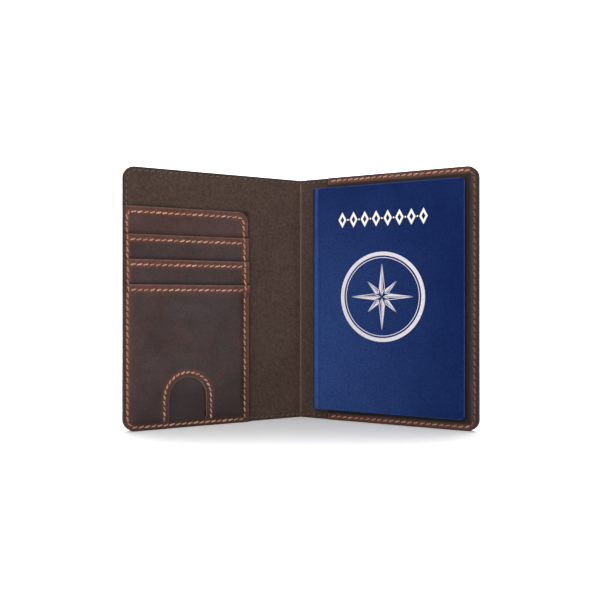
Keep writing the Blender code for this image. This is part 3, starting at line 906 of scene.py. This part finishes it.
def seam_marks(points, seams, halo=0.8, width=1.15 * MM):
    """A coloured halo along each seam, and painted shade in its holes."""
    glow = np.zeros(len(points))
    holes = np.zeros(len(points))
    for seam in seams:
        glow = np.maximum(glow, bell(seam.distance(points), width))
        holes = np.maximum(holes, bell(distance_to_points(points, seam.spots), 0.42 * MM))
    return halo * glow, 0.9 * holes


def mouth(points, top):
    """How far a pocket's mouth stands open: nothing at its sewn sides, most in the middle."""
    across = np.clip((points[:, 0] - CARD_LEFT) / (CARD_RIGHT - CARD_LEFT), 0, 1)
    down = np.clip(1 - (top - points[:, 1]) / (9 * MM), 0, 1)
    return 0.32 * MM * np.sin(pi * across) ** 0.8 * down * down


def shadow_above(points, top):
    """A painted dark line on the leather just above a pocket's mouth."""
    over = points[:, 1] - top
    return np.where(over >= 0, bell(over, 1.15 * MM), bell(over, 4 * MM))


def in_arch(points, margin=0.0):
    u, z = points.T
    return (np.abs(u - ARCH_CENTRE) < ARCH_RADIUS + margin) & (z < ARCH_SPRING)


def card_marks(seams, shadows, top):
    """Painted darker along the outer edge, painted shade towards the foot, and a painted shadow above the
    mouths at shadows.
    """
    def marks(points):
        u, z = points.T
        halo, shade = seam_marks(points, seams)
        rim = np.maximum(0.85 * bell(top - z, 0.3 * MM), 0.55 * bell(u - BACKING_LOW[0], 0.35 * MM))
        bands = bell(top - z, 2.6 * MM) + bell(u - BACKING_LOW[0], 2.4 * MM)
        halo = np.maximum(halo, 0.4 * bands) * (1 + 0.35 * smooth_step(7 * MM, 2 * MM, HALF_WIDTH - u))
        # Painted shade, growing towards the foot.
        foot = 1 - smooth_step(0, 34 * MM, z)
        shade = np.maximum.reduce([shade, 0.75 * bell(HALF_WIDTH - u, 0.9 * MM), 0.3 * foot])
        for edge in shadows:
            shade = np.maximum(shade, 0.97 * shadow_above(points, edge))
        return {"halo": halo, "rim": rim, "shade": shade}
    return marks


def backing_top(points):
    soft = 0.04 * MM * waves(points, 22 * MM, 3.0)
    return BACKING_HIGH[1] + soft - seam_dimples(points, [BORDER_SEAM])


def backing_marks(points):
    marks = card_marks([BORDER_SEAM], [POCKET_1_HIGH[2]], BACKING_HIGH[2])(points)
    marks["shade"] = np.maximum(marks["shade"], np.where(in_arch(points, 1 * MM), 0.35, 0.0))
    marks["halo"] = np.maximum(marks["halo"], 0.13)
    return marks


def pocket_outline(low, high, tongue):
    """A T: a full-width band at the mouth, and a narrower tail under it, perhaps with a tongue."""
    left = low[0] + TAIL_INSET
    right = high[0] - TAIL_INSET
    band = high[2] - BAND_DEPTH
    outline = [(left, low[2])]
    if tongue:
        reach_u = ARCH_RADIUS - TONGUE_GAP
        outline += [(ARCH_CENTRE - reach_u, low[2]), (ARCH_CENTRE - reach_u, TONGUE_FOOT),
                    (ARCH_CENTRE + reach_u, TONGUE_FOOT), (ARCH_CENTRE + reach_u, low[2])]
    return outline + [(right, low[2]), (right, band), (high[0], band), (high[0], high[2]),
                      (low[0], high[2]), (low[0], band), (left, band)]


def tongue_drop(points):
    """How far the tongue under the thumb arch bends down to meet the seam along the foot."""
    return 0.8 * MM * (1 - smooth_step(2.4 * MM, 5.0 * MM, points[:, 1]))


def pocket_top(high, seam):
    def top(points):
        soft = 0.03 * MM * (waves(points, 20 * MM, high[2] * 100) + 0.5)
        return high[1] + soft + mouth(points, high[2]) - seam_dimples(points, [seam, BORDER_SEAM], 0.12 * MM)
    return top


POCKET_1_TOP = pocket_top(POCKET_1_HIGH, SLOT_SEAMS[0])
POCKET_2_TOP = pocket_top(POCKET_2_HIGH, SLOT_SEAMS[1])


def front_outline():
    outline = rounded_rectangle(FRONT_LOW[0], HALF_WIDTH, 0, FRONT_HIGH[2], (0, CORNER, 0, 0))
    return [outline[0], *reversed(arch_path(ARCH_RADIUS, 0)), *outline[1:]]


def front_base(points):
    """The lowest pocket's underside: on the backing at its sewn rim, raised over the other pockets."""
    u, z = points.T
    rim = np.minimum.reduce([u - FRONT_LOW[0], HALF_WIDTH - u, z])
    over_arm = smooth_step(*(POCKET_2_HIGH[2] - end for end in ARM_RAMP), z)
    raised = POCKET_2_HIGH[1] + LAYER_GAP
    return FRONT_LOW[1] + (raised - FRONT_LOW[1]) * np.maximum(smooth_step(*SEWN_RAMP, rim), over_arm)


def front_top(points):
    soft = 0.07 * MM * (waves(points, 24 * MM, 9.0) + 0.6)
    dimples = seam_dimples(points, FRONT_SEAMS, 0.2 * MM)
    return front_base(points) + FRONT_THICKNESS + soft - dimples + mouth(points, FRONT_HIGH[2])


def front_low(points):
    return front_base(points) + mouth(points, FRONT_HIGH[2])


def front_marks(points):
    marks = card_marks(FRONT_SEAMS, [], FRONT_HIGH[2])(points)
    arch = distance_to_path(points, arch_path(ARCH_RADIUS, 0))
    marks["rim"] = np.maximum(marks["rim"], bell(arch, 0.35 * MM))
    return marks


def panel_top(points):
    """The height of whatever layer of the card panel is uppermost."""
    z = points[:, 1]
    result = backing_top(points)
    for high, top in ((POCKET_1_HIGH, POCKET_1_TOP), (POCKET_2_HIGH, POCKET_2_TOP)):
        result = np.where((z <= high[2]) & (z > high[2] - BAND_DEPTH), top(points), result)
    tongue = POCKET_2_TOP(points) - tongue_drop(points)
    return np.where(z <= FRONT_HIGH[2], np.where(in_arch(points), tongue, front_top(points)), result)


def card_tone(u, z):
    """The thread is painted more orange along the outer edge."""
    return 0, 0.25 if u > HALF_WIDTH - OUTER_COLUMN else 0.9


def build_upper_pocket(name, low, high, seam, face, shadow, tongue):
    def bottom(points):
        return low[1] + mouth(points, high[2]) - tongue * tongue_drop(points)

    def top(points):
        return face(points) - tongue * tongue_drop(points)

    def marks(points):
        values = card_marks([BORDER_SEAM, seam], [shadow], high[2])(points)
        if tongue:
            low_down = 1 - smooth_step(ARCH_SPRING, ARCH_SPRING + ARCH_RADIUS, points[:, 1])
            values["shade"] = np.maximum(values["shade"], 0.42 * low_down)
        return values

    piece = sheet(name + "_leather", pocket_outline(low, high, tongue), half(-1), bottom, top,
                  POCKET, seams=[BORDER_SEAM, seam], edge=0.28 * MM, marks=marks)
    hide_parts(name)
    return piece


def build_cards():
    outline = rounded_rectangle(BACKING_LOW[0], HALF_WIDTH, 0, BACKING_HIGH[2], (0, CORNER, 0, CARD_CORNER))
    backing = sheet("card_backing_leather", outline, half(-1), level(BACKING_LOW[1]), backing_top, POCKET,
                    seams=[BORDER_SEAM], marks=backing_marks)
    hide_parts("card_backing")
    first = build_upper_pocket("card_pocket_1", POCKET_1_LOW, POCKET_1_HIGH, SLOT_SEAMS[0], POCKET_1_TOP,
                               POCKET_2_HIGH[2], False)
    second = build_upper_pocket("card_pocket_2", POCKET_2_LOW, POCKET_2_HIGH, SLOT_SEAMS[1], POCKET_2_TOP,
                                FRONT_HIGH[2], True)
    front = sheet("id_pocket_leather", front_outline(), half(-1), front_low, front_top, POCKET,
                  seams=FRONT_SEAMS, edge=0.32 * MM, marks=front_marks)
    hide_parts("id_pocket_front")
    for piece in (backing, first, second, front):
        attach(piece, "left_half")

    rows = (
        ("card_border_stitches", BORDER_SEAM, panel_top, "seam_card_border"),
        ("slot_1_stitches", SLOT_SEAMS[0], POCKET_1_TOP, "seam_slot_1"),
        ("slot_2_stitches", SLOT_SEAMS[1], POCKET_2_TOP, "seam_slot_2"),
        ("slot_3_stitches", SLOT_SEAMS[2], front_top, "seam_slot_3"),
        ("thumb_arch_stitches", ARCH_SEAM, front_top, "seam_thumb_arch"),
    )
    for name, seam, top, node in rows:
        row = stitch_row(name, seam, -1, half(-1), top, TAN, lift=PANEL_LIFT, tone=card_tone)
        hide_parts(node)
        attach(row, "left_half")


# ---------------------------------------------------------------- the passport's pocket

HOLD_THICKNESS = 0.9 * MM


def hold_base(points):
    """The pocket's underside: down on the lining at its sewn rim, raised over the booklet's back board."""
    raised = HOLD_HIGH[1] - HOLD_THICKNESS
    return HOLD_LOW[1] + (raised - HOLD_LOW[1]) * smooth_step(3.2 * MM, 5.0 * MM, border(points))


def hold_top(points):
    return hold_base(points) + HOLD_THICKNESS - seam_dimples(points, [HOLD_SEAM], 0.2 * MM)


def hold_marks(points):
    """Painted darker at the rim, painted shade along the outer edge and the foot, where the seam's halo is
    weaker, and a painted shadow all over inside the seam, beside the booklet.
    """
    u, z = points.T
    halo, shade = seam_marks(points, [HOLD_SEAM], 0.9, 1.35 * MM)
    # Painted shade along the outer edge.
    column = smooth_step(6 * MM, 3 * MM, HALF_WIDTH - u)
    foot = smooth_step(6 * MM, 3 * MM, z)
    halo *= 1 - np.maximum(0.72 * column, 0.24 * foot)
    edge = border(points)
    at_rim = 0.85 * bell(edge, (0.5 + 0.5 * column) * MM)
    # Painted shadow of the booklet, inside the seam.
    beside = 0.96 * smooth_step(3.0 * MM, 4.4 * MM, edge)
    shade = np.maximum.reduce([shade, at_rim, beside, 0.3 * column])
    return {"halo": halo, "rim": 0.6 * bell(u - HOLD_LOW[0], 0.5 * MM), "shade": shade}


def hold_tone(u, z):
    """The thread carries painted shade: much darker along the outer edge, and a little darker along the foot.
    """
    if u > HALF_WIDTH - OUTER_COLUMN:
        return -0.85, -0.55
    return 0, 0.4 if z < 4 * MM else 0.9


def build_hold():
    outline = rounded_rectangle(HOLD_LOW[0], HALF_WIDTH, 0, HEIGHT, (0, CORNER, CORNER, 0))
    piece = sheet("passport_pocket_leather", outline, half(1), hold_base, hold_top, POCKET,
                  seams=[HOLD_SEAM], marks=hold_marks)
    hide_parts("passport_pocket")
    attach(piece, "right_half")
    row = stitch_row("passport_pocket_stitches", HOLD_SEAM, 1, half(1), hold_top, TAN, lift=PANEL_LIFT,
                     tone=hold_tone)
    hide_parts("seam_passport_pocket")
    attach(row, "right_half")


# ---------------------------------------------------------------- the passport

BOOK_START = SPINE_LOW[0]
BOOK_END = BOOK_HIGH[0]
BOOK_BACK = SPINE_LOW[1]
SPINE_TOP = SPINE_HIGH[1]
COVER_THICKNESS = 0.5 * MM
BOOK_CORNER = 2.2 * MM
SPINE_RADIUS = 0.9 * MM
SPINE_STRAIGHT = (SPINE_TOP - BOOK_BACK) / 2 - SPINE_RADIUS
SPINE_REACH = SPINE_STRAIGHT + SPINE_RADIUS * pi / 2
FORE_FACE = 4.0 * MM


def face_height(u):
    share = (u - BOOK_START) / (BOOK_END - BOOK_START)
    return SPINE_TOP + share * (FORE_FACE - SPINE_TOP)


def wrapped(s, n, z):
    """A place on the booklet's cover. s runs from 0 at the spine's middle, to the front board where it is
    positive and to the back board where it is negative; n is the height over the cover's outside."""
    middle = (SPINE_TOP + BOOK_BACK) / 2
    way = 1 if s > 0 else -1
    run = abs(s)
    if run <= SPINE_STRAIGHT:
        return place(1, BOOK_START - n, middle + way * run, z)
    if run <= SPINE_REACH:
        turn = (run - SPINE_STRAIGHT) / SPINE_RADIUS
        out = SPINE_RADIUS + n
        rise = SPINE_STRAIGHT + out * sin(turn)
        return place(1, BOOK_START + SPINE_RADIUS - out * cos(turn), middle + way * rise, z)
    u = BOOK_START + SPINE_RADIUS + run - SPINE_REACH
    return place(1, u, face_height(u) + n if way > 0 else BOOK_BACK - n, z)


def build_passport():
    reach_out = SPINE_REACH + BOOK_END - BOOK_START - SPINE_RADIUS
    outline = rounded_rectangle(-reach_out, reach_out, BOOK_LOW[2], BOOK_HIGH[2], (BOOK_CORNER,) * 4)

    def near_spine(points):
        return np.abs(points[:, 0]) < SPINE_REACH + 5 * MM

    def top(points):
        hinge = np.abs(points[:, 0]) - SPINE_REACH
        groove = 0.09 * MM * bell(hinge - 2.2 * MM, 0.9 * MM)
        return 0.02 * MM * waves(points, 30 * MM, 5.0) * smooth_step(0, 6 * MM, hinge) - groove

    def marks(points):
        s, z = points.T
        hinge = np.abs(s) - SPINE_REACH
        along = np.clip(hinge / (reach_out - SPINE_REACH), 0, 1)
        rise = (z - BOOK_LOW[2]) / (BOOK_HIGH[2] - BOOK_LOW[2])
        edge = np.minimum.reduce([reach_out - np.abs(s), z - BOOK_LOW[2], BOOK_HIGH[2] - z])
        shade = 0.8 * (1 - smooth_step(-0.6 * MM, 0.4 * MM, hinge)) + 0.25 * bell(hinge - 3.4 * MM, 0.5 * MM)
        return {
            # Painted light: a share that grows towards the spine and the foot, where the cover is painted
            # paler.
            "fade": (1 - along) ** 1.2 * (1 - 0.85 * rise ** 1.6) + 0.04,
            # Painted highlights: a pale band beside the hinge and a pale line along the edges.
            "rim": np.maximum(0.5 * bell(hinge - 1.5 * MM, 1.2 * MM), 0.7 * bell(edge, 0.22 * MM)),
            "shade": shade,
        }

    cover = sheet("passport_cover", outline, wrapped, level(-COVER_THICKNESS), top, NAVY,
                  fine=near_spine, edge=0.2 * MM, fine_step=0.5 * MM, coarse_step=2.2 * MM, marks=marks)
    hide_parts("passport_cover_back", "passport_spine", "passport_cover_front")
    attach(cover, "passport")

    pages = page_block()
    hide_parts("passport_pages")
    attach(pages, "passport")


def page_block():
    """Leaves with round corners. Each ends a little short of the CAD block, or level with it."""
    leaves = 18
    gap = 0.03 * MM
    lift_start = 13.5 * MM
    lift_end = 16.4 * MM
    back = PAGES_LOW[1]
    lifted = HOLD_HIGH[1] + 0.1 * MM
    under_cover = COVER_THICKNESS + 0.1 * MM
    columns = [BOOK_START + 0.9 * MM, 12 * MM, lift_start, 15 * MM, lift_end, 30 * MM, 60 * MM, 90 * MM]
    bm = bmesh.new()
    corner = 1.8 * MM
    for leaf in range(leaves):
        low_share = leaf / leaves
        high_share = (leaf + 1) / leaves
        end = PAGES_HIGH[0] - random.uniform(0.0, 0.3) * MM
        trim = random.uniform(0, 0.15) * MM
        foot = PAGES_LOW[2] + trim
        head = PAGES_HIGH[2] - trim
        stations = [(u, 0.0) for u in columns]
        turns = (0, pi / 6, pi / 3, pi / 2)
        stations += [(end - corner * (1 - sin(a)), corner * (1 - cos(a))) for a in turns]
        rows = []
        for u, cut in stations:
            start = back + (lifted - back) * float(smooth_step(lift_start, lift_end, np.array(u)))
            depth = face_height(u) - under_cover - start
            low = start + depth * low_share
            high = start + depth * high_share - gap
            corners = ((low, foot + cut), (low, head - cut), (high, head - cut), (high, foot + cut))
            rows.append([bm.verts.new(place(1, u, n, z)) for n, z in corners])
        for first, second in zip(rows, rows[1:]):
            for k in range(4):
                bm.faces.new((first[k], first[(k + 1) % 4], second[(k + 1) % 4], second[k]))
        bm.faces.new(rows[0])
        bm.faces.new(rows[-1])
    mesh = bpy.data.meshes.new("passport_pages")
    bm.to_mesh(mesh)
    bm.free()
    return finished("passport_leaves", mesh, PAPER, sharp=30)


def foil_shape(name, shapes, finish, node):
    """Flat foil shapes on the front board, each a closed plate with a chamfered edge.

    Each shape is its outline, anticlockwise, and then its holes, clockwise.
    """
    rise = 0.07 * MM
    base = 0.01 * MM
    chamfer = 0.04 * MM
    bm = bmesh.new()
    for loops in shapes:
        points = [point for loop in loops for point in loop]
        starts = [sum(map(len, loops[:k])) for k in range(len(loops))]
        faces = [list(range(start, start + len(loop))) for start, loop in zip(starts, loops)]
        found = delaunay_2d_cdt([Vector(p) / MM for p in points], [], faces, 2, 1e-5)
        origin = [group[0] for group in found[3]]
        inward = np.concatenate([inset_directions(loop, ()) for loop in loops])
        low = [bm.verts.new(place(1, u, face_height(u) + base, z)) for u, z in points]
        raised = (np.array(points) + chamfer * inward).tolist()
        high = [bm.verts.new(place(1, u, face_height(u) + rise, z)) for u, z in raised]
        for face in found[2]:
            own = [origin[i] for i in face]
            bm.faces.new([high[i] for i in own])
            bm.faces.new([low[i] for i in reversed(own)])
        for own in faces:
            for a, b in zip(own, own[1:] + own[:1]):
                bm.faces.new((low[a], low[b], high[b], high[a]))
    mesh = bpy.data.meshes.new(name)
    bm.to_mesh(mesh)
    bm.free()
    made = finished(name, mesh, finish, sharp=30)
    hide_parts(node)
    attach(made, "passport")
    return made


def circle(centre, radius, steps):
    angles = (2 * pi * i / steps for i in range(steps))
    return [(centre[0] + radius * cos(a), centre[1] + radius * sin(a)) for a in angles]


def orient(outline):
    """The outline, anticlockwise."""
    ends = outline[1:] + outline[:1]
    area = sum(u0 * z1 - u1 * z0 for (u0, z0), (u1, z1) in zip(outline, ends))
    return outline if area > 0 else outline[::-1]


def shrunk(outline, gap):
    """The outline, anticlockwise, with every side moved in by gap."""
    outline = orient(outline)
    return [tuple(p) for p in (np.array(outline) + gap * inset_directions(outline, ())).tolist()]


def build_emblem():
    """A plain compass rose in a double ring."""
    centre = ((EMBLEM_LOW[0] + EMBLEM_HIGH[0]) / 2, (EMBLEM_LOW[2] + EMBLEM_HIGH[2]) / 2)
    outer = (EMBLEM_HIGH[2] - EMBLEM_LOW[2]) / 2
    rim = outer - 2.1 * MM
    line = 0.36 * MM
    blade_gap = 0.13 * MM

    def polar(radius, eighths):
        angle = eighths * pi / 4
        return centre[0] + radius * cos(angle), centre[1] + radius * sin(angle)

    rings = ((outer, rim), (rim - 0.9 * MM, rim - 1.3 * MM))
    shapes = [[circle(centre, wide, 96), circle(centre, narrow, 96)[::-1]] for wide, narrow in rings]
    for k in (1, 3, 5, 7, 0, 2, 4, 6):
        length, waist = (0.6 * rim, 0.19 * rim) if k % 2 else (rim - 2.0 * MM, 0.22 * rim)
        tip = polar(length, k)
        heart = polar(0.45 * waist if k % 2 else 0.0, k)
        hollow = shrunk([heart, polar(waist, k - 0.5), tip], blade_gap)
        shapes.append([shrunk([heart, tip, polar(waist, k + 0.5)], blade_gap)])
        shapes.append([hollow, shrunk(hollow, line)[::-1]])
    foil_shape("emblem_foil", shapes, SILVER, "passport_emblem")


def build_title():
    """A chain of open lozenges with small beads between them, in place of the cover's title."""
    start, end = TITLE_LOW[0], TITLE_HIGH[0]
    z = (TITLE_LOW[2] + TITLE_HIGH[2]) / 2
    rise = (TITLE_HIGH[2] - TITLE_LOW[2]) / 2
    count = 8
    bead = 0.5 * MM
    pitch = (end - start) / count
    wide = 0.36 * pitch

    def lozenge(u, size):
        out, up = size * wide, size * rise
        return [(u + out, z), (u, z + up), (u - out, z), (u, z - up)]

    shapes = []
    for i in range(count):
        u = start + (i + 0.5) * pitch
        shapes.append([lozenge(u, 1.0), lozenge(u, 0.45)[::-1]])
        if i:
            shapes.append([circle((u - pitch / 2, z), bead, 12)])
    foil_shape("title_foil", shapes, CREAM, "passport_title_band")


# ---------------------------------------------------------------- the stage

FLOOR_GAP = 0.05 * MM


def soft_light(name, at, size, power, target=(0, 0, 0.065)):
    lamp = bpy.data.lights.new(name, "AREA")
    lamp.shape = "RECTANGLE"
    lamp.size, lamp.size_y = size
    lamp.energy = power
    made = bpy.data.objects.new(name, lamp)
    made.location = at
    made.rotation_euler = (Vector(target) - Vector(at)).to_track_quat("-Z", "Y").to_euler()
    bpy.context.scene.collection.objects.link(made)


def build_stage():
    """A pale floor that curves up into a backdrop, three soft lights and an even sky."""
    white = plain("studio_white", (0.93, 0.93, 0.93), 0.9)
    reach_x = 3.0
    turn = 0.6
    angles = (pi / 2 * i / 16 for i in range(1, 17))
    curve = [(1.2 + turn * sin(a), turn - turn * cos(a)) for a in angles]
    profile = [(-1.6, 0.0), (1.2, 0.0), *curve, (1.8, 3.0)]
    vertices = [(x, y, z - FLOOR_GAP) for y, z in profile for x in (-reach_x, reach_x)]
    faces = [(2 * i, 2 * i + 1, 2 * i + 3, 2 * i + 2) for i in range(len(profile) - 1)]
    mesh = bpy.data.meshes.new("studio_floor")
    mesh.from_pydata(vertices, [], faces)
    stage = finished("studio_floor", mesh, white)

    soft_light("key_light", (-0.45, -0.75, 0.75), (0.7, 0.7), 4.5)
    soft_light("fill_light", (0.75, -0.8, 0.4), (0.8, 0.8), 1.5)
    soft_light("backdrop_light", (0, 0.7, 1.6), (2.5, 1.0), 60, target=(0, 1.6, 0.6))

    world = bpy.data.worlds.new("studio")
    bpy.context.scene.world = world
    world.use_nodes = True
    background = world.node_tree.nodes["Background"]
    background.inputs["Color"].default_value = (1, 1, 1, 1)
    background.inputs["Strength"].default_value = 0.7


LENS = 45.69
CAMERA_X = -1.42 * MM
CAMERA_DISTANCE = 441.92 * MM
CAMERA_HEIGHT = 67.75 * MM
CAMERA_TURN = -0.0022


def build_camera():
    """Level, at about half the holder's height, and within a fraction of a degree of square to it."""
    data = bpy.data.cameras.new("camera")
    data.sensor_width = 36
    data.lens = LENS
    camera = bpy.data.objects.new("camera", data)
    camera.location = (CAMERA_X, CREASE.y - CAMERA_DISTANCE, CAMERA_HEIGHT)
    camera.rotation_euler = (radians(90), 0, CAMERA_TURN)
    bpy.context.scene.collection.objects.link(camera)
    bpy.context.scene.camera = camera


for node in ("stiffener_left", "stiffener_right"):
    part = frame["nodes"][node]
    part.data.materials.clear()
    part.data.materials.append(BOARD)

build_outer()
build_lining()
build_cards()
build_hold()
build_passport()
build_emblem()
build_title()
build_stage()
build_camera()
bpy.context.scene.view_settings.view_transform = "Standard"
